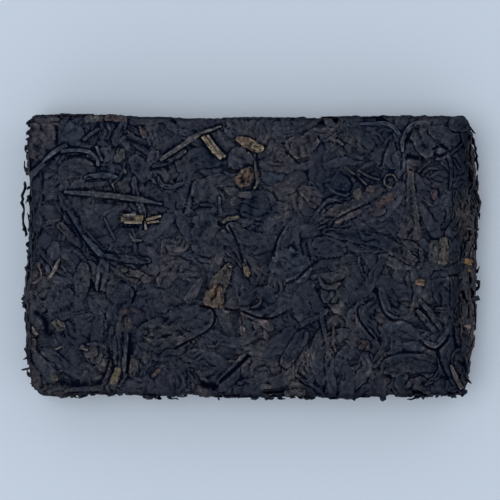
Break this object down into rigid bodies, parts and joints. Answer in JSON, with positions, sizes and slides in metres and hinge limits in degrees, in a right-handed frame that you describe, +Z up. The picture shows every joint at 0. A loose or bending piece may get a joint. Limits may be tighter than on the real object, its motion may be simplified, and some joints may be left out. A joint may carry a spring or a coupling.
{
  "type": "pressed tea brick",
  "caption": "Flat rectangular brick of compressed dark tea leaves, with crossing leaves and stalks pressed flush in its top face and layered leaf edges along its bulging walls.",
  "frame": {"origin": "middle of the brick's outline, on the face that it lies on", "axes": "+X along the brick's length, +Y across its width, +Z up through its thickness"},
  "size_m": [0.1498, 0.0918, 0.0272],
  "materials": {
    "pressed_leaf": "dry crumpled leaf, blue-black to brown, dull with a faint waxy sheen"
  },
  "bodies": {
    "root": {"tea_brick": "pressed_leaf"}
  },
  "joints": []
}
